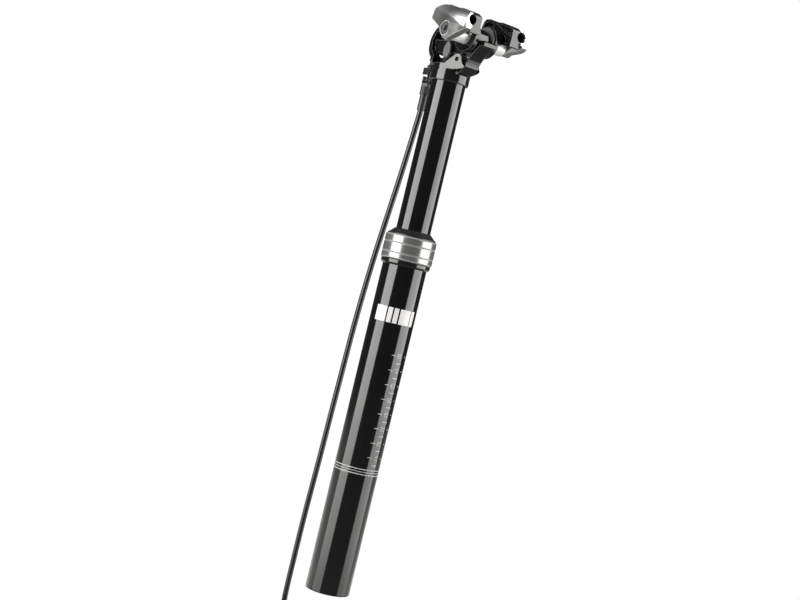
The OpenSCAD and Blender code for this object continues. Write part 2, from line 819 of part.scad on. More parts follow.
module adjuster_lock_nut() {
    color([0.5, 0.5, 0.52])
    translate([0, cable_reach, 0])
        difference() {
            translate([0, 0, locknut_z]) cylinder(r = adjuster_d / 2 + 0.3, h = locknut_h, $fn = 6);
            rod(thread_r + run_fit, locknut_z - e, locknut_z + locknut_h + e);
        }
}

module adjuster_barrel() {
    flutes = 12;
    grip_top = grip_z + adjuster_grip_h;
    color([0.14, 0.14, 0.14])
    translate([0, cable_reach, 0])
        difference() {
            union() {
                rod(adjuster_d / 2, grip_z, grip_top);
                rod(thread_r, grip_top - e, stop_plate_z + stop_plate_h);
            }
            rod(wire_bore_r, grip_z - e, stop_plate_z + stop_plate_h + e);
            rod(ferrule_d / 2 + run_fit, grip_z - e, ferrule_top_z + run_fit);
            for (i = [0:flutes - 1])
                rotate([0, 0, i * 360 / flutes])
                    translate([adjuster_d / 2 + 0.15, 0, 0]) rod(0.4, grip_z + 0.7, grip_top - 0.7);
        }
}

module housing_ferrule() {
    color([0.2, 0.2, 0.21])
    translate([0, cable_reach, 0])
        difference() {
            rod(ferrule_d / 2, ferrule_z, ferrule_top_z);
            rod(wire_bore_r, ferrule_z - e, ferrule_top_z + e);
        }
}

module inner_wire() {
    color([0.75, 0.75, 0.77])
        translate([0, cable_reach, 0]) rod(wire_d / 2, wire_foot_z, tip_top_z + 0.8);
}

// Saddle clamp, each side drawn for +x and mirrored for the left

// Side view of an outer jaw: flat top, round nose, slanted rear end, and a round tip under the bolt
module shield(drop) {
    polygon([
        each curve([jaw_front, 6.4], [jaw_front, 11], [jaw_front - 4, jaw_top], [jaw_front - 9, jaw_top], 6),
        each curve([3.5 - jaw_rear, jaw_top], [1.6 - jaw_rear, jaw_top], [0.2 - jaw_rear, jaw_top - 1.2],
                   [-jaw_rear - 0.2, jaw_top - 2.8], 4),
        [-jaw_rear - jaw_slant, 4.4],
        each curve([0.3 - jaw_rear - jaw_slant, 3.7], [-15, 0.2], [-9.5, 3.7 - drop], [-4.4, 1.7 - drop], 8),
        each curve([-4, 1.5 - drop], [-2.4, -drop - 0.1], [1.8, -drop - 0.3], [3, 2.2 - drop], 8),
        each curve([3.4, 2.8 - drop], [5, -1.4], [7, -0.4], [9, 0.4], 6),
        [15.9, 2.7], [jaw_front - 1.2, 4.8]
    ]);
}

// Top view of an outer jaw: round at its nose, with a facet at its rear end
module bowed() {
    nose_r = 6;
    rear = -jaw_rear - jaw_slant;
    polygon([
        [plate_in - 1, jaw_front],
        for (a = [90:-10:0]) [jaw_out - nose_r + nose_r * cos(a), jaw_front - nose_r + nose_r * sin(a)],
        each curve([jaw_out, rear + 9], [jaw_out, rear + 6], [jaw_out - 0.4, rear + 4],
                   [jaw_out - 1, rear + 1.6], 4),
        [jaw_out - 2, rear], [plate_in - 1, rear]
    ]);
}

module rail_groove(x0) {
    translate([x0, jaw_len, rail_rise]) rotate([90, 0, 0]) cylinder(r = rail_r, h = 2 * jaw_len);
}

// End view of an outer jaw's face: domed above the bolt and rounder below it, as short straight steps
module domed() {
    dome_r = 22;
    tip_r = 14.5;
    steps = 10;
    reach = 50;
    tip_reach = 36;
    start = 1;
    polygon([
        [plate_in - 1, -2 * jaw_top], [jaw_out - tip_r + tip_r * cos(tip_reach), -2 * jaw_top],
        for (i = [0:steps - 1])
            let (a = tip_reach * (i / steps - 1))
            [jaw_out - tip_r + tip_r * cos(a), start + tip_r * sin(a)],
        for (i = [0:steps])
            let (a = reach * i / steps)
            [jaw_out - dome_r + dome_r * cos(a), start + dome_r * sin(a)],
        [plate_in - 1, start + dome_r * sin(reach)]
    ]);
}

module jaw_plate(drop) {
    difference() {
        union() {
            intersection() {
                across(plate_in, jaw_out + 1) shield(drop);
                translate([0, 0, -jaw_len]) linear_extrude(2 * jaw_len) bowed();
                forward(-jaw_len, jaw_len) domed();
            }
            // Rim round the bolt's seat
            cross_rod(pocket_r + pocket_rim, pocket_floor - 2.6, jaw_out - 0.25, 0, 0);
        }
        rail_groove(rail_x);
        // Dished inner side below the rail
        across(plate_in - e, plate_in + 0.9)
            translate([-jaw_len, -jaw_len]) square([2 * jaw_len, jaw_len + rail_rise - rail_r - 1.6]);
        // Seat for the bolt's head or the nut, open to the outside
        cross_rod(pocket_r, pocket_floor, jaw_out + 5, 0, 0);
    }
}

// Side view of a cradle's body, which sits over the cone's sleeve
module cradle_side() {
    front = jaw_front - 3.3;
    rear = 0.4 - jaw_rear;
    polygon([
        [front - 0.6, 13.2], [front - 2, cradle_top - 1], [front - 7, cradle_top],
        [front - 12, cradle_top - 0.8], [front - 16, cradle_top - 0.7], [front - 21, cradle_top],
        [rear + 5, cradle_top - 0.6], [rear + 0.6, 14], [rear, 13], [rear - 0.8, 8], [rear - 1.6, 2.6],
        [rear - 1, 2], [rear + 5, 2], [-7.4, 2.2], [6, 2.8], [12, 4.5], [front - 0.4, 7], [front, 9]
    ]);
}

// Pockets in the cradle's inner side, on both sides of a rib that falls to the rear
module cradle_pockets() {
    rear = 2 - jaw_rear;
    front = jaw_front - 5.1;
    difference() {
        union() {
            polygon([[4, 14.4], [-5, 14.9], [-12, 14.2], [rear, 12.6], [rear, 9], [-11, 9.9], [-1, 13.4]]);
            polygon([[rear, 6.4], [-11, 7.2], [-3, 11], [-3, 4.2], [-11, 3.6], [rear, 3.6]]);
            polygon([[front, 13], [9, 14.6], [6, 13.6], [6, 6], [front, 8]]);
        }
        circle(r = cradle_hub_r + 0.8);
    }
}

module cradle() {
    pocket_depth = 3.4;
    difference() {
        union() {
            difference() {
                across(cradle_x, cradle_out) cradle_side();
                across(cradle_x - e, cradle_x + pocket_depth) cradle_pockets();
            }
            // Disc beside the cone's flange, and the bridge over the sleeve that joins it to the body
            cross_rod(hub_disc_r, hub_x, hub_x + hub_disc_t, 0, 0);
            intersection() {
                cross_rod(cradle_hub_r, hub_x, cradle_x + 0.6, 0, 0);
                translate([0, -hub_r, 1]) cube([rail_x, 2 * hub_r, hub_r]);
            }
        }
        rail_groove(rail_x);
        cross_rod(cone_r + set_fit, hub_x - 1, cradle_out + 1, 0, 0);
    }
}

module left_cradle() {
    color([0.09, 0.09, 0.095]) on_clamp() mirror([1, 0, 0]) cradle();
}

module right_cradle() {
    color([0.09, 0.09, 0.095]) on_clamp() cradle();
}

// Flanged cone: its face turns beside the head's barrel, and its sleeve carries the cradle
module cone() {
    difference() {
        union() {
            cross_rod(hub_r, cone_x, cone_x + hub_flange_t, 0, 0);
            cross_rod(cone_r, cone_x, cradle_out, 0, 0);
        }
        cross_rod(bush_r + set_fit, cone_x - 1, cone_x + bush_grip, 0, 0);
        cross_rod(sleeve_r + run_fit, cone_x, cradle_out + 1, 0, 0);
    }
}

module left_cone() {
    color([0.62, 0.62, 0.63]) on_clamp() mirror([1, 0, 0]) cone();
}

module right_cone() {
    color([0.62, 0.62, 0.63]) on_clamp() cone();
}

module tilt_bush() {
    color([0.7, 0.6, 0.4])
    on_clamp()
        difference() {
            cross_rod(bush_r, -cone_x - bush_grip, cone_x + bush_grip, 0, 0);
            cross_rod(bolt_r + run_fit, -cradle_x, cradle_x, 0, 0);
        }
}

module left_jaw_plate() {
    color([0.78, 0.78, 0.79])
    on_clamp()
        difference() {
            mirror([1, 0, 0]) jaw_plate(left_drop);
            cross_rod(bolt_r + set_fit, -jaw_out - 1, 0, 0, 0);
        }
}

module right_jaw_plate() {
    color([0.78, 0.78, 0.79])
    on_clamp()
        difference() {
            jaw_plate(right_drop);
            cross_rod(sleeve_r + set_fit, 0, jaw_out + 1, 0, 0);
        }
}

module bolt_washer() {
    color([0.7, 0.7, 0.72])
    on_clamp()
        difference() {
            cross_rod(pocket_r - 0.3, -pocket_floor - washer_t, -pocket_floor, 0, 0);
            cross_rod(bolt_r + set_fit, -jaw_out - 1, 0, 0, 0);
        }
}

module clamp_bolt() {
    seat = -pocket_floor - washer_t;
    head_h = 2.8;
    color([0.55, 0.55, 0.57])
    on_clamp()
        difference() {
            union() {
                cross_rod(bolt_r, seat, rail_x + 4, 0, 0);
                cross_rod(bolt_head_d / 2, seat - head_h, seat, 0, 0);
            }
            translate([seat - head_h - e, 0, 0]) rotate([0, 90, 0]) cylinder(r = hex_r, h = 2.4, $fn = 6);
        }
}

module clamp_nut() {
    sleeve_x = cone_x + bush_grip + 1;
    flange_h = 3;
    color([0.55, 0.55, 0.57])
    on_clamp()
        difference() {
            union() {
                cross_rod(sleeve_r, sleeve_x, pocket_floor + e, 0, 0);
                cross_rod(bolt_head_d / 2, pocket_floor, pocket_floor + flange_h, 0, 0);
            }
            cross_rod(bolt_r + run_fit, sleeve_x - 1, pocket_floor + 1.4, 0, 0);
            translate([pocket_floor + flange_h - 1.8, 0, 0])
                rotate([0, 90, 0]) cylinder(r = hex_r, h = 3, $fn = 6);
        }
}

// Cable housing, laid along its route and then in a flat coil of two layers

function unit(v) = v / norm(v);
function tangent(p, i) = unit(p[i + 1] - p[i - 1]);
function side_of(t) = abs(t[0]) > 0.95 ? unit(cross(t, [0, 1, 0])) : unit(cross(t, [1, 0, 0]));

// A closed round tube of n sides along a list of points
module tube_along(p, r, n, first, last) {
    m = len(p);
    rings = [
        for (i = [0:m - 1])
            let (
                t = i == 0 ? first : i == m - 1 ? last : tangent(p, i),
                s = side_of(t),
                q = cross(t, s)
            )
            for (j = [0:n - 1]) p[i] + r * (cos(j * 360 / n) * s + sin(j * 360 / n) * q)
    ];
    walls = [
        for (i = [0:m - 2], j = [0:n - 1])
            let (a = i * n + j, b = i * n + (j + 1) % n)
            each [[a, b, b + n], [a, b + n, a + n]]
    ];
    caps = [
        for (j = [1:n - 2]) each [[0, j + 1, j], [(m - 1) * n, (m - 1) * n + j, (m - 1) * n + j + 1]]
    ];
    polyhedron(points = rings, faces = concat(walls, caps));
}

run_points = [for (p = cable_route) cable_start + p];

// Point of the coil after a number of turns: in on the floor, up in half a turn, and out again above
coil_climb = 0.5;
coil_total = 2 * coil_turns - coil_short;
function coil_r(t) = coil_out_r - coil_pitch * (coil_turns - abs(coil_turns - t));
function coil_z(t) = coil_floor
    + coil_lift * max(0, min(1, (t - coil_turns) / coil_climb + 0.5));
function coil_point(t) = [
    coil_centre[0] + coil_r(t) * cos(360 * t), coil_centre[1] + coil_r(t) * sin(360 * t), coil_z(t)
];
coil_points = [for (i = [0:coil_total * coil_rings]) coil_point(i / coil_rings)];
coil_end = coil_points[len(coil_points) - 1];
coil_end_dir = let (a = 360 * coil_total) [-sin(a), cos(a), 0];
coil_path = concat(coil_points, [coil_end + coil_end_dir * cable_d]);

// Least gap between turns of the coil, measured on its points
coil_gap = min([
    for (i = [0:2:len(coil_path) - 1], k = [i + coil_rings / 2:len(coil_path) - 1])
        norm(coil_path[i] - coil_path[k]) - cable_d
]);
echo(coil_gap = coil_gap);

module cable_run() {
    color([0.05, 0.05, 0.05])
        tube_along(run_points, cable_d / 2, 10, first = [0, 0, -1], last = [0, 1, 0]);
}

module cable_coil() {
    color([0.05, 0.05, 0.05])
        tube_along(coil_path, cable_d / 2, 6, first = [0, 1, 0], last = coil_end_dir);
}

// Strap round all turns at one place of the coil
module cable_tie() {
    in_r = coil_out_r - coil_pitch * coil_turns - cable_d / 2 - 1.2;
    out_r = coil_out_r + cable_d / 2 + 0.4;
    low = coil_floor - cable_d / 2 - 0.3;
    high = coil_floor + coil_lift + cable_d / 2 + 0.3;
    color([0.12, 0.12, 0.12])
    translate([coil_centre[0], coil_centre[1], 0])
        rotate([0, 0, tie_angle])
            forward(-tie_w / 2, tie_w / 2)
                difference() {
                    translate([in_r - tie_t, low - tie_t])
                        square([out_r - in_r + 2 * tie_t, high - low + 2 * tie_t]);
                    translate([in_r, low]) square([out_r - in_r, high - low]);
                }
}

// Puts +z along the cable's end, at a distance past it
module at_cable_end(past) {
    end = coil_end + coil_end_dir * (cable_d + past);
    translate(end) rotate([0, 0, 360 * coil_total + 90]) rotate([0, 90, 0]) children();
}

module cable_end_ferrule() {
    color([0.3, 0.3, 0.31])
    at_cable_end(0)
        difference() {
            cylinder(r = ferrule_d / 2, h = end_len);
            translate([0, 0, end_len - 4]) cylinder(r = wire_d / 2 + 0.3, h = 5);
        }
}

module wire_nipple() {
    color([0.75, 0.75, 0.77])
    at_cable_end(end_len - 3.5) {
        cylinder(r = wire_d / 2, h = 12);
        translate([0, 0, 12]) cylinder(r = 2.2, h = nipple_len);
    }
}

lower_tube();
bottom_plug();
foot_screw();
piston_rod();
piston();
piston_seal();
upper_guide_bush();
collar();
collar_o_ring();
wiper_seal();
shaft();
shaft_foot();
anti_rotation_keys();
lower_guide_bush();
top_out_bumper();
cartridge_gland();
rod_seal();
cartridge_body();
valve_body();
valve_pin();
head();
pivot_pin();
release_lever();
wire_anchor();
cable_stop();
stop_screw();
adjuster_lock_nut();
adjuster_barrel();
housing_ferrule();
inner_wire();
left_cone();
right_cone();
tilt_bush();
left_cradle();
right_cradle();
left_jaw_plate();
right_jaw_plate();
clamp_bolt();
bolt_washer();
clamp_nut();
cable_run();
cable_coil();
cable_tie();
cable_end_ferrule();
wire_nipple();
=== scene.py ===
import json
import math

import bpy
from mathutils import Matrix, Vector


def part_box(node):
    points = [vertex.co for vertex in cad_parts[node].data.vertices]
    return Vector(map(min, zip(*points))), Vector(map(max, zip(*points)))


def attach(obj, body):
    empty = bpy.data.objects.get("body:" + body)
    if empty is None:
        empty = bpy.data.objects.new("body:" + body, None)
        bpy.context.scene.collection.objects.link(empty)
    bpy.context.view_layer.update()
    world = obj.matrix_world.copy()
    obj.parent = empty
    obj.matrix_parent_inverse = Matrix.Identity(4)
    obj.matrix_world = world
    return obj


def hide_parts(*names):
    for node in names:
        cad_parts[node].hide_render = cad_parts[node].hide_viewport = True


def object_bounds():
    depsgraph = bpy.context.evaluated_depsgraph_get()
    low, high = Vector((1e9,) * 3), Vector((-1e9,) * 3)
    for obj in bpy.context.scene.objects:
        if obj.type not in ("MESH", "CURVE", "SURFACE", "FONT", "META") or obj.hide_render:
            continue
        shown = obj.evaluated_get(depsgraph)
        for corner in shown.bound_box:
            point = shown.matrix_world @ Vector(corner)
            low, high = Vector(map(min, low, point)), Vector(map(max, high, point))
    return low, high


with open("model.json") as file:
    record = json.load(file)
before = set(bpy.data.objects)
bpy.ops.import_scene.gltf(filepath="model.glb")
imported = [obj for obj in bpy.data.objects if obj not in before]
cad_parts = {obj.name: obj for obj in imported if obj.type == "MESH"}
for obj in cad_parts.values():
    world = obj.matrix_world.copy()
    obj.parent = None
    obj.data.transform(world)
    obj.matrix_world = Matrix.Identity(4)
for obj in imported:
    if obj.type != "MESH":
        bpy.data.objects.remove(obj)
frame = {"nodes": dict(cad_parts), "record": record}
cad_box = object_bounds()
nodes = frame["nodes"]
scene = bpy.context.scene
scene.view_settings.view_transform = "Standard"
MM = 0.001


def towards(bearing, rise=0.0):
    """The direction out from the post at a bearing and a rise in degrees."""
    a, e = math.radians(bearing), math.radians(rise)
    return Vector((math.cos(e) * math.cos(a), math.cos(e) * math.sin(a), math.sin(e)))


# Camera: the photograph's place, roll and lens, worked out from the post's edges
CAMERA_LENS, CAMERA_SENSOR = 71.907, 36
CAMERA_BEARING, CAMERA_RISE, CAMERA_ROLL = -127.1233, 1.1992, 13.4692
CAMERA_DISTANCE = 1.1
CAMERA_AIM = Vector((1.598, -1.509, 207.191)) * MM
CAMERA_NEAR, CAMERA_FAR = 0.01, 20


def photo_camera():
    data = bpy.data.cameras.new("camera")
    data.lens, data.sensor_width = CAMERA_LENS, CAMERA_SENSOR
    data.clip_start, data.clip_end = CAMERA_NEAR, CAMERA_FAR
    made = bpy.data.objects.new("camera", data)
    scene.collection.objects.link(made)
    back = towards(CAMERA_BEARING, CAMERA_RISE)
    place = Matrix.Translation(CAMERA_AIM + CAMERA_DISTANCE * back)
    upright = back.to_track_quat("Z", "Y").to_matrix().to_4x4()
    made.matrix_world = place @ upright @ Matrix.Rotation(math.radians(CAMERA_ROLL), 4, "Z")
    return made


camera = photo_camera()
scene.camera = camera


# Nodes: one method adds any node, and its outputs add and multiply like numbers
class Value:
    """An output of a node, on which arithmetic adds Math nodes."""

    def __init__(self, graph, socket):
        self.graph = graph
        self.socket = socket

    def __add__(self, other):
        return self.graph.maths("ADD", self, other)

    def __sub__(self, other):
        return self.graph.maths("SUBTRACT", self, other)

    def __rsub__(self, other):
        return self.graph.maths("SUBTRACT", other, self)

    def __mul__(self, other):
        return self.graph.maths("MULTIPLY", self, other)

    def __abs__(self):
        return self.graph.maths("ABSOLUTE", self)

    __radd__ = __add__
    __rmul__ = __mul__

    def at_least(self, other):
        return self.graph.maths("MAXIMUM", self, other)

    def at_most(self, other):
        return self.graph.maths("MINIMUM", self, other)

    def above(self, low, high):
        """Zero up to a low value, one from a high value, and a straight rise between."""
        return self.graph.maths("DIVIDE", self - low, high - low, clamp=True)


class Graph:
    """A node tree under construction."""

    def __init__(self, tree):
        self.tree = tree

    def node(self, kind, sockets=None, settings=None, out=0):
        """Adds a node with its settings, then its sockets' values or links, and gives an output."""
        added = self.tree.nodes.new(kind)
        for name, value in (settings or {}).items():
            setattr(added, name, value)
        self.plug(added, sockets or {})
        return Value(self, added.outputs[out]) if added.outputs else None

    def plug(self, node, sockets):
        for name, value in sockets.items():
            if isinstance(value, Value):
                self.tree.links.new(value.socket, node.inputs[name])
            else:
                node.inputs[name].default_value = value

    def maths(self, operation, *terms, clamp=False):
        settings = {"operation": operation, "use_clamp": clamp}
        return self.node("ShaderNodeMath", dict(enumerate(terms)), settings)


EVEN = (1, 1, 1)
TURNED = (0.05, 0.05, 6.0)
NOISE_DETAIL = 3.0
EDGE_SAMPLES, RELIEF_SAMPLES = 8, 6
EDGE_FROM, EDGE_TO = 0.01, 0.12


def grey(tone):
    return (tone, tone, tone)


class Surface(Graph):
    """A principled material under construction, with its coordinates at hand."""

    def __init__(self, name):
        self.material = bpy.data.materials.new(name)
        self.material.use_nodes = True
        super().__init__(self.material.node_tree)
        self.place = self.node("ShaderNodeTexCoord", out="Object")

    def feed(self, **sockets):
        """Gives the shader's own sockets numbers or values."""
        shader = self.tree.nodes["Principled BSDF"]
        self.plug(shader, {name.replace("_", " "): value for name, value in sockets.items()})

    def colour(self, value, low, high):
        """A colour between two, by a value from zero to one."""
        ends = {"Factor": value, "A": (*low, 1), "B": (*high, 1)}
        self.feed(Base_Color=self.node("ShaderNodeMix", ends, {"data_type": "RGBA"}, "Result"))

    def tone(self, value):
        """A grey that is worked out from values."""
        self.colour(value, grey(0), grey(1))

    def noise(self, scale, stretch=EVEN):
        """A grain of a scale per metre, stretched along the axes."""
        place = self.node("ShaderNodeMapping", {"Vector": self.place, "Scale": stretch})
        grain = {"Vector": place, "Scale": scale, "Detail": NOISE_DETAIL}
        return self.node("ShaderNodeTexNoise", grain, out="Fac")

    def axis(self, letter):
        """A coordinate of the place, in the part's frame."""
        return self.node("ShaderNodeSeparateXYZ", {0: self.place}, out=letter)

    def facing(self, letter):
        """A component of the surface's own direction."""
        direction = self.node("ShaderNodeNewGeometry", out="Normal")
        return self.node("ShaderNodeSeparateXYZ", {0: direction}, out=letter)

    def edges(self, radius):
        """One on the edges and zero on the faces, over a radius."""
        rounded = self.node("ShaderNodeBevel", {"Radius": radius}, {"samples": EDGE_SAMPLES})
        plain = self.node("ShaderNodeNewGeometry", out="Normal")
        product = {"operation": "DOT_PRODUCT"}
        agree = self.node("ShaderNodeVectorMath", {0: rounded, 1: plain}, product, "Value")
        return (1.0 - agree).above(EDGE_FROM, EDGE_TO)

    def relief(self, height=None, depth=0.0, edge=0.0):
        """Rounds the edges' shading by a radius, and lays a relief of a depth over it."""
        shading = {}
        if edge:
            bevel = self.node("ShaderNodeBevel", {"Radius": edge}, {"samples": RELIEF_SAMPLES})
            shading = {"Normal": bevel}
        if depth:
            bump = {"Height": height, "Distance": depth, **shading}
            shading = {"Normal": self.node("ShaderNodeBump", bump)}
        self.feed(**shading)


# Plain finishes: the colour and gloss drift a little, with a fine grain
DRIFT = 38


def finish(
    name, low, high, rough, spread, metal=0.0, grain=900, stretch=EVEN, bump=0.0, edge=0.0, shine=0.5
):
    s = Surface(name)
    drift = s.noise(DRIFT)
    fine = s.noise(grain, stretch)
    s.colour(drift, low, high)
    gloss = rough + spread * (0.5 * drift + 0.5 * fine - 0.5)
    s.feed(Metallic=metal, Specular_IOR_Level=shine, Roughness=gloss)
    s.relief(fine, bump, edge)
    return s.material


PLAIN_FINISHES = {
    "black_tube": dict(low=grey(0.002), high=grey(0.004), rough=0.10, spread=0.05, stretch=TURNED),
    "black_shaft": dict(low=grey(0.002), high=grey(0.004), rough=0.07, spread=0.04, stretch=TURNED),
    "inner_alloy": dict(
        low=grey(0.58), high=grey(0.66), rough=0.28, spread=0.12, metal=1.0, grain=1200, stretch=TURNED
    ),
    "steel": dict(
        low=grey(0.30), high=grey(0.36), rough=0.28, spread=0.12, metal=1.0, grain=1500, edge=0.2 * MM
    ),
    # Painted shade: steel painted nearly black for the pivot pin, as the shade in its hole
    "painted_shade_steel": dict(
        low=grey(0.006), high=grey(0.010), rough=0.40, spread=0.10, grain=1500, shine=0.2
    ),
    "hard_chrome": dict(
        low=grey(0.74), high=grey(0.80), rough=0.08, spread=0.04, metal=1.0, stretch=TURNED
    ),
    "key_brass": dict(
        low=(0.60, 0.42, 0.16), high=(0.70, 0.50, 0.20), rough=0.30, spread=0.12, metal=1.0, grain=1500
    ),
    "bush_plastic": dict(
        low=(0.20, 0.17, 0.11), high=(0.25, 0.21, 0.14), rough=0.5, spread=0.15, grain=1800
    ),
    "seal_rubber": dict(
        low=grey(0.004), high=grey(0.008), rough=0.42, spread=0.12, grain=3000, bump=0.003 * MM
    ),
    "tie_rubber": dict(
        low=grey(0.016), high=grey(0.024), rough=0.6, spread=0.15, grain=3000, bump=0.004 * MM
    ),
    "black_fitting": dict(
        low=grey(0.012), high=grey(0.020), rough=0.38, spread=0.10,
        grain=2200, bump=0.002 * MM, edge=0.2 * MM, shine=0.35,
    ),
    "cable_jacket": dict(
        low=grey(0.006), high=grey(0.010), rough=0.22, spread=0.08,
        grain=1500, bump=0.003 * MM, shine=0.4,
    ),
}


# Head, cradles and cable stop: black forgings whose edges carry a painted highlight
FORGING_EDGE, FORGING_ROUND = 0.5 * MM, 0.4 * MM
FORGING_GRAIN, FORGING_DEPTH = 2600, 0.001 * MM


def forging(name):
    s = Surface(name)
    drift = s.noise(DRIFT)
    fine = s.noise(FORGING_GRAIN)
    painted_highlight = s.edges(FORGING_EDGE)
    # Painted highlight: the edges are painted lighter than the faces, and made rougher
    s.tone(0.003 + 0.003 * drift + 0.12 * painted_highlight)
    s.feed(Roughness=0.11 + 0.05 * (0.5 * drift + 0.5 * fine - 0.5) + 0.2 * painted_highlight)
    s.relief(fine, FORGING_DEPTH, FORGING_ROUND)
    return s.material


# Collar: a bright turned band with dull edges and two dull grooves, over a dark skirt
SKIRT_H = 4.0 * MM
SKIRT_FADE = (-0.2 * MM, 0.3 * MM)
DULL_SHARES = (0.02, 0.26, 0.67, 0.98)
GROOVE_HALF, GROOVE_FADE = 0.3 * MM, 0.5 * MM
SKIRT_TONE, BAND_TONE, BAND_METAL = 0.006, 0.21, 0.72
TURNED_GRAIN = 900


def turned_collar(name):
    s = Surface(name)
    skirt_z, top_z = (corner.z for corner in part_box("collar"))
    band_z = skirt_z + SKIRT_H
    fine = s.noise(TURNED_GRAIN, TURNED)
    up = s.axis("Z")
    heights = [band_z + share * (top_z - band_z) for share in DULL_SHARES]
    dull = sum(1.0 - abs(up - z).above(GROOVE_HALF, GROOVE_HALF + GROOVE_FADE) for z in heights)
    band = (up - band_z).above(*SKIRT_FADE)
    s.tone(SKIRT_TONE + band * (BAND_TONE + 0.10 * (fine - 0.5)))
    s.feed(
        Roughness=0.12 + 0.10 * band + 0.34 * dull,
        Metallic=BAND_METAL * band * (1.0 - 0.5 * dull),
    )
    return s.material


# Jaws: bright outer faces with a crown along them and a swell that falls away below a slanting line, with
# painted highlights on the edges, the undersides and the nose
JAW_EDGE = 0.8 * MM
CROWN_Y, CROWN_BEND = -17.0 * MM, 16.0
SWELL_Y, SWELL_Z, SWELL_SLANT = -21.8 * MM, 401.1 * MM, 0.366
SWELL_H, SWELL_SLOPE = 4.0 * MM, 0.9
NOSE_Y, NOSE_FADE = -6.0 * MM, 12.0 * MM
FACING_DOWN = (0.4, 0.6)


def jaw_shading(s):
    """The height of the crown and the swell, for the faces' shading."""
    along = s.axis("Y") - CROWN_Y
    down = SWELL_Z + SWELL_SLANT * (s.axis("Y") - SWELL_Y) - s.axis("Z")
    turning = down.at_least(0.0).at_most(SWELL_H)
    below = (down - SWELL_H).at_least(0.0)
    crown = along * along * (-0.5 * CROWN_BEND)
    return crown + turning * turning * (-0.5 * SWELL_SLOPE / SWELL_H) - below * SWELL_SLOPE


def polished_jaw(name):
    s = Surface(name)
    # Painted highlight: the edges and the downward faces are painted lighter and less metallic
    underside = (-1.0 * s.facing("Z")).above(*FACING_DOWN)
    painted_highlight = s.edges(JAW_EDGE).at_least(0.2 * underside)
    # Painted light: the nose is made less metallic, so it shows lighter than the middle of the jaw
    nose = s.axis("Y").above(NOSE_Y - NOSE_FADE, NOSE_Y)
    fine = s.noise(TURNED_GRAIN, TURNED)
    s.tone(0.43 + 0.44 * painted_highlight + 0.08 * (fine - 0.5))
    s.feed(
        Roughness=0.30 + 0.25 * painted_highlight + 0.08 * (fine - 0.5),
        Metallic=1.0 - 0.75 * painted_highlight - 0.16 * nose * (1.0 - painted_highlight),
    )
    s.relief(jaw_shading(s), depth=1.0)
    return s.material


# Cones and lever: a dark tone that turns to a light one by the place on the piece
TWO_TONE_GRAIN, TWO_TONE_DEPTH, TWO_TONE_ROUND = 2200, 0.002 * MM, 0.3 * MM
SLEEVE_X, SLEEVE_FADE = 10.0 * MM, 0.6 * MM
LEAF_Z, LEAF_FADE = 375.5 * MM, 1.0 * MM
FACING_SIDEWAYS = (0.6, 0.8)


def two_tone(s, light_share, dark, light, rough, metal):
    fine = s.noise(TWO_TONE_GRAIN)
    s.colour(0.9 * light_share + 0.1 * fine, grey(dark), grey(light))
    s.feed(Metallic=metal, Roughness=rough + 0.08 * (fine - 0.5))
    s.relief(fine, TWO_TONE_DEPTH, TWO_TONE_ROUND)
    return s.material


def sleeved_cone(name):
    """Light on the sleeve, darker on the flange and darkest on its rim: the flange's sideways faces are
    painted lighter than the rim, as painted light and shade.
    """
    s = Surface(name)
    sleeve = abs(s.axis("X")).above(SLEEVE_X, SLEEVE_X + SLEEVE_FADE)
    # Painted light and shade: faces turned sideways are painted lighter than the rim
    flange = abs(s.facing("X")).above(*FACING_SIDEWAYS)
    light_share = (sleeve + 0.2 * flange).at_most(1.0)
    return two_tone(s, light_share, dark=0.02, light=0.85, rough=0.42, metal=0.25)


def leafed_lever(name):
    """Light on the two leaves, above the dark arm."""
    s = Surface(name)
    leaves = s.axis("Z").above(LEAF_Z, LEAF_Z + LEAF_FADE)
    return two_tone(s, leaves, dark=0.010, light=0.15, rough=0.34, metal=0.5)


# White print, in mm: three rings, a scale with plain numbers and a plain barred band
RING_Z, RING_H, RING_STEP, RING_COUNT = 85.4, 0.6, 1.8, 3
SCALE_Z, SCALE_STEP, SCALE_COUNT = 98.0, 10.24, 8
BAND_Z, BAND_H = 191, 10.5
INK_GRAIN = 2400
INK_TONE, THINNER, THINNEST = 0.50, 0.18, 0.12
THIN_UP_TO, FAINT_HALF = 188, 0.8


def ink(name):
    """Full on the band, thinner on the scale and the rings, and thinnest on the middle ring."""
    s = Surface(name)
    fine = s.noise(INK_GRAIN)
    up = s.axis("Z")
    thin = 1.0 - up.above(THIN_UP_TO * MM, (THIN_UP_TO + 1) * MM)
    middle_ring = (RING_Z + RING_STEP + RING_H / 2) * MM
    faint = 1.0 - abs(up - middle_ring).above(FAINT_HALF * MM, (FAINT_HALF + 0.1) * MM)
    s.tone(INK_TONE - THINNER * thin - THINNEST * faint + 0.06 * (fine - 0.5))
    s.feed(Roughness=0.35 + 0.10 * (fine - 0.5))
    return s.material


# Finishes on the CAD pieces: the record's slots, apart from the pieces with a finish of their own
SHAPED_FINISHES = {
    "forged_black": forging,
    "bright_alloy": turned_collar,
    "bright_jaw": polished_jaw,
    "satin_alloy": sleeved_cone,
    "lever_grey": leafed_lever,
    "print_white": ink,
}
# The pivot pin takes the steel painted nearly black, as the shade in its hole
OWN_FINISH = {"pivot_pin": "painted_shade_steel", "left_jaw_plate": "bright_jaw", "right_jaw_plate": "bright_jaw"}
looks = {name: finish(name, **values) for name, values in PLAIN_FINISHES.items()}
looks.update({name: make(name) for name, make in SHAPED_FINISHES.items()})
for subpart in frame["record"]["subparts"]:
    look = looks[OWN_FINISH.get(subpart["node"], subpart["material_slot"])]
    for slot in nodes[subpart["node"]].material_slots:
        slot.material = look


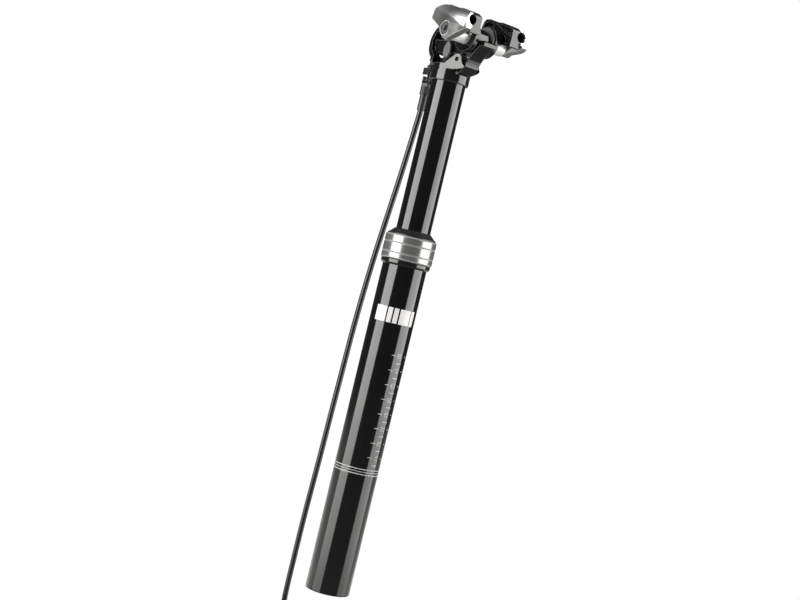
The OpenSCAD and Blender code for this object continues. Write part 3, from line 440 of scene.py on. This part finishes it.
# Cable housing, in mm: down beside the post, then the unseen length in a flat coil of two layers
CABLE_D = 4
ROUTE = [
    (0, 24.5, 339), (0, 24.5, 336.8), (0, 25.2, 329), (0, 26.1, 320.5), (0, 27.6, 307), (0, 29.7, 289.6),
    (0, 32.2, 271.5), (0, 34.7, 253.5), (0, 37, 236.5), (0, 38.9, 219.5), (0, 40.4, 203), (0, 41.6, 186.5),
    (0, 42.4, 171), (0, 42.9, 156), (0, 43.5, 139), (0, 44.1, 122), (0, 44.6, 106), (0, 45.1, 88.5),
    (0, 45.8, 71), (0, 46.5, 55), (0, 47, 41), (0, 47.3, 24), (0, 47.4, 7), (0, 47.5, -10),
    (0.6, 47.8, -22.2), (2.2, 48.4, -32.2), (4.8, 49.9, -40.2), (8, 52.3, -46.7), (11.2, 56, -51.4),
    (13.8, 60.6, -53.8), (15.5, 65.2, -54.2), (16, 69, -54.2),
]
COIL_R, COIL_PITCH, COIL_LIFT = 35.5, 4.7, 4.5
COIL_INWARD, COIL_SHORTER, COIL_RISE = 4.1, 1.45, 0.5
COIL_TURNS = 2 * COIL_INWARD - COIL_SHORTER
COIL_STEPS = 24
BEVEL_STEPS, CURVE_STEPS = 4, 4


def coil_point(turn):
    """The coil winds inward on the floor, rises by a layer and winds outward for fewer turns."""
    x, y, z = ROUTE[-1]
    r = COIL_R - COIL_PITCH * (COIL_INWARD - abs(COIL_INWARD - turn))
    lift = COIL_LIFT * max(0, min(1, (turn - COIL_INWARD) / COIL_RISE + 0.5))
    a = 2 * math.pi * turn
    return (r * math.cos(a) - COIL_R + x, r * math.sin(a) + y, z + lift)


def cable_path():
    """The route, the coil and a short straight end."""
    path = ROUTE + [coil_point(i / COIL_STEPS) for i in range(1, round(COIL_TURNS * COIL_STEPS) + 1)]
    a = 2 * math.pi * COIL_TURNS
    x, y, z = path[-1]
    return path + [(x - math.sin(a) * CABLE_D, y + math.cos(a) * CABLE_D, z)]


def smooth_housing(path):
    curve = bpy.data.curves.new("cable_housing", "CURVE")
    curve.dimensions = "3D"
    curve.bevel_depth = CABLE_D / 2 * MM
    curve.bevel_resolution = BEVEL_STEPS
    curve.resolution_u = CURVE_STEPS
    curve.use_fill_caps = True
    spline = curve.splines.new("BEZIER")
    spline.bezier_points.add(len(path) - 1)
    for point, place in zip(spline.bezier_points, path):
        point.co = Vector(place) * MM
        point.handle_left_type = point.handle_right_type = "AUTO"
    curve.materials.append(looks["cable_jacket"])
    housing = bpy.data.objects.new("cable_housing", curve)
    scene.collection.objects.link(housing)
    return housing


path = cable_path()
cable = smooth_housing(path)
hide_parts("cable_run", "cable_coil")
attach(cable, "upper_post")


# Print on the lower tube: films of cells with two bearings in degrees and two heights in mm
TUBE_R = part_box("lower_tube")[1].x
FILM_IN, FILM_OUT = TUBE_R - 0.04 * MM, TUBE_R + 0.03 * MM
FILM_STEP = 4
FULL_TURN = 360
DEGREES_PER_MM = math.degrees(MM / TUBE_R)


def film(name, cells):
    """A thin closed film for each cell. A cell of a full turn is a ring without ends."""
    verts, faces = [], []
    for start, end, low, high in cells:
        steps = max(2, int((end - start) / FILM_STEP) + 1)
        ring = end - start == FULL_TURN
        columns = steps if ring else steps + 1
        first = len(verts)
        for i in range(columns):
            out = towards(start + (end - start) * i / steps)
            for r, z in ((FILM_IN, low), (FILM_IN, high), (FILM_OUT, high), (FILM_OUT, low)):
                verts.append((r * out.x, r * out.y, z * MM))
        for i in range(steps):
            here, there = first + 4 * i, first + 4 * ((i + 1) % columns)
            for j in range(4):
                k = (j + 1) % 4
                faces.append((here + j, here + k, there + k, there + j))
        if not ring:
            last = first + 4 * steps
            faces.append((first + 3, first + 2, first + 1, first))
            faces.append((last, last + 1, last + 2, last + 3))
    mesh = bpy.data.meshes.new(name)
    mesh.from_pydata(verts, [], faces)
    mesh.validate()
    mesh.materials.append(looks["print_white"])
    piece = bpy.data.objects.new(name, mesh)
    scene.collection.objects.link(piece)
    return piece


def repeat_tree(name):
    """Geometry nodes that repeat a piece upwards, and the identifiers of their inputs."""
    tree = bpy.data.node_groups.new(name, "GeometryNodeTree")
    kinds = {"Geometry": "Geometry", "Count": "Int", "Step": "Float", "Material": "Material"}
    inputs = {}
    for label, kind in kinds.items():
        socket = tree.interface.new_socket(label, in_out="INPUT", socket_type="NodeSocket" + kind)
        inputs[label] = socket.identifier
    tree.interface.new_socket("Geometry", in_out="OUTPUT", socket_type="NodeSocketGeometry")
    graph = Graph(tree)
    given = {label: graph.node("NodeGroupInput", out=label) for label in kinds}
    offset = graph.node("ShaderNodeCombineXYZ", {"Z": given["Step"]})
    line = graph.node("GeometryNodeMeshLine", {"Count": given["Count"], "Offset": offset})
    copies = graph.node("GeometryNodeInstanceOnPoints", {"Points": line, "Instance": given["Geometry"]})
    real = graph.node("GeometryNodeRealizeInstances", {0: copies})
    inked = graph.node("GeometryNodeSetMaterial", {"Geometry": real, "Material": given["Material"]})
    graph.node("NodeGroupOutput", {"Geometry": inked})
    return tree, inputs


def repeat_up(piece, count, step):
    """Repeats a piece upwards by a step in mm, and keeps the result as its mesh."""
    tree, inputs = repeat_tree(piece.name + "_repeat")
    modifier = piece.modifiers.new("repeat", "NODES")
    modifier.node_group = tree
    modifier[inputs["Count"]] = count
    modifier[inputs["Step"]] = step * MM
    modifier[inputs["Material"]] = looks["print_white"]
    evaluated = piece.evaluated_get(bpy.context.evaluated_depsgraph_get())
    mesh = bpy.data.meshes.new_from_object(evaluated)
    piece.modifiers.remove(modifier)
    piece.data = mesh


def printed(name, cells, count=1, step=0.0):
    piece = film(name, cells)
    if count > 1:
        repeat_up(piece, count, step)
    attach(piece, "lower_post")


printed("ring_marks", [(0, FULL_TURN, RING_Z, RING_Z + RING_H)], RING_COUNT, RING_STEP)

# Each number has a tick on either side of it, and a short one half a step below
TICK_HALF = 0.25
TICKS = ((-106, -94, 0.0), (-62, -55, 0.0), (-88, -71, -SCALE_STEP / 2))
tick_cells = [
    (start, end, SCALE_Z + rise - TICK_HALF, SCALE_Z + rise + TICK_HALF) for start, end, rise in TICKS
]
printed("scale_ticks", tick_cells, SCALE_COUNT, SCALE_STEP)

# Digits: strokes from the left side and the middle height, in widths and half heights
DIGIT_W, DIGIT_HALF, PEN = 1.3, 1.3, 0.34
DIGIT_BEARING, DIGIT_SPACING = -88, 8.5
STROKES = {
    "t": (0, 1, 1, 1), "m": (0, 1, 0, 0), "f": (0, 1, -1, -1),
    "a": (0, 0, 0, 1), "b": (1, 1, 0, 1), "e": (0, 0, -1, 0), "d": (1, 1, -1, 0),
}
DIGITS = ("tabdef", "bd", "tbmef", "tbmdf", "abmd", "tamdf", "tamdef", "tbd", "tabmdef")


def digit(number, bearing, middle):
    cells = []
    for stroke in DIGITS[number]:
        x0, x1, z0, z1 = STROKES[stroke]
        start = bearing + (x0 * DIGIT_W - PEN / 2) * DEGREES_PER_MM
        end = bearing + (x1 * DIGIT_W + PEN / 2) * DEGREES_PER_MM
        low, high = z0 * DIGIT_HALF - PEN / 2, z1 * DIGIT_HALF + PEN / 2
        cells.append((start, end, middle + low, middle + high))
    return cells


number_cells = []
for row in range(SCALE_COUNT):
    for place, number in enumerate((row + 1, 0)):
        bearing = DIGIT_BEARING + DIGIT_SPACING * place
        number_cells += digit(number, bearing, SCALE_Z + SCALE_STEP * row)
printed("scale_numbers", number_cells)

# The band's bars: the bearing of each one's start and its width in degrees
BARS = ((-176, 30), (-142, 12), (-126, 12), (-110, 30), (-76, 12))
printed("barred_band", [(start, start + width, BAND_Z, BAND_Z + BAND_H) for start, width in BARS])


# Stage: a white surround and floor for the camera, and a dim room for every other ray
WHITE, ROOM, PALE = (1, 1, 1, 1), (0.07, 0.07, 0.072, 1), (0.3, 0.3, 0.3, 1)
FLOOR_HALF = 4.0


def emptied(data):
    """The node tree of a world or a material, without the nodes that it starts with."""
    data.use_nodes = True
    data.node_tree.nodes.clear()
    return Graph(data.node_tree)


def for_camera(graph, seen, unseen, output):
    """Shows one shader to the camera and another to every other ray."""
    rays = graph.node("ShaderNodeLightPath", out="Is Camera Ray")
    mixed = graph.node("ShaderNodeMixShader", {0: rays, 1: unseen, 2: seen})
    graph.node(output, {"Surface": mixed})


def dim_room():
    world = bpy.data.worlds.new("room")
    graph = emptied(world)
    white = graph.node("ShaderNodeBackground", {"Color": WHITE})
    dim = graph.node("ShaderNodeBackground", {"Color": ROOM})
    for_camera(graph, white, dim, "ShaderNodeOutputWorld")
    return world


def pale_floor():
    """A floor under the coil, which gloss doesn't see."""
    z = cad_box[0].z
    corners = [(-1, -1), (1, -1), (1, 1), (-1, 1)]
    mesh = bpy.data.meshes.new("floor")
    mesh.from_pydata([(x * FLOOR_HALF, y * FLOOR_HALF, z) for x, y in corners], [], [(0, 1, 2, 3)])
    material = bpy.data.materials.new("pale_floor")
    graph = emptied(material)
    white = graph.node("ShaderNodeEmission", {"Color": WHITE})
    pale = graph.node("ShaderNodeBsdfDiffuse", {"Color": PALE})
    for_camera(graph, white, pale, "ShaderNodeOutputMaterial")
    mesh.materials.append(material)
    floor = bpy.data.objects.new("floor", mesh)
    scene.collection.objects.link(floor)
    floor.visible_glossy = False
    return floor


scene.world = dim_room()
pale_floor()

# Lights: strips of two heights in metres and a share of the radiance, which falls off near the foot
LIGHT_COLOUR = (1, 0.985, 0.96)
LIGHT_DISTANCE = 0.9
SOFTBOX_STRIPS = (
    (-0.33, -0.16, 0.32), (-0.16, -0.125, 0.45), (-0.125, -0.08, 0.54), (-0.08, -0.02, 0.60),
    (-0.02, 0.035, 0.72), (0.035, 0.10, 0.82), (0.10, 0.16, 0.92), (0.16, 0.40, 1.0), (0.40, 1.23, 1.1),
)
# Low and faint, from the sides and behind, for the edges near the foot
WING_STRIPS = (
    (-0.33, -0.16, 1.5), (-0.16, -0.10, 1.2), (-0.10, -0.05, 1.0), (-0.05, -0.01, 0.7), (-0.01, 0.03, 0.4),
)
# The sweep under the post, as its gloss shows it: radius and radiance of disks, which add up near the foot
SWEEP_Z = -0.3
SWEEP = ((1.65, 0.2), (2.05, 0.14), (2.65, 0.10), (3.7, 0.08), (6.0, 0.05))


def panel(name, shape, width, height, place, aim, radiance):
    """A soft light of an even radiance, which the camera doesn't see."""
    area = width * height * (math.pi / 4 if shape == "DISK" else 1)
    data = bpy.data.lights.new(name, "AREA")
    data.shape = shape
    data.size, data.size_y = width, height
    data.color = LIGHT_COLOUR
    data.energy = radiance * math.pi * area
    light = bpy.data.objects.new(name, data)
    light.location = place
    light.rotation_euler = aim.to_track_quat("-Z", "Y").to_euler()
    light.visible_camera = False
    scene.collection.objects.link(light)


def softbox(name, bearing, width, radiance, strips=SOFTBOX_STRIPS):
    """An upright light at a bearing in degrees from the camera, right of it when positive."""
    out = towards(math.degrees(math.atan2(camera.location.y, camera.location.x)) + bearing)
    for low, high, share in strips:
        place = LIGHT_DISTANCE * out + Vector((0, 0, (low + high) / 2))
        panel(name, "RECTANGLE", width, high - low, place, -out, radiance * share)


softbox("left_softbox", bearing=-60, width=0.78, radiance=8.8)
softbox("right_softbox", bearing=82, width=0.9, radiance=6.5)
softbox("left_wing", bearing=-122, width=1.46, radiance=0.75, strips=WING_STRIPS)
softbox("right_wing", bearing=138, width=1.0, radiance=0.5, strips=WING_STRIPS)
for radius, radiance in SWEEP:
    panel("sweep", "DISK", 2 * radius, 2 * radius, (0, 0, SWEEP_Z), Vector((0, 0, 1)), radiance)
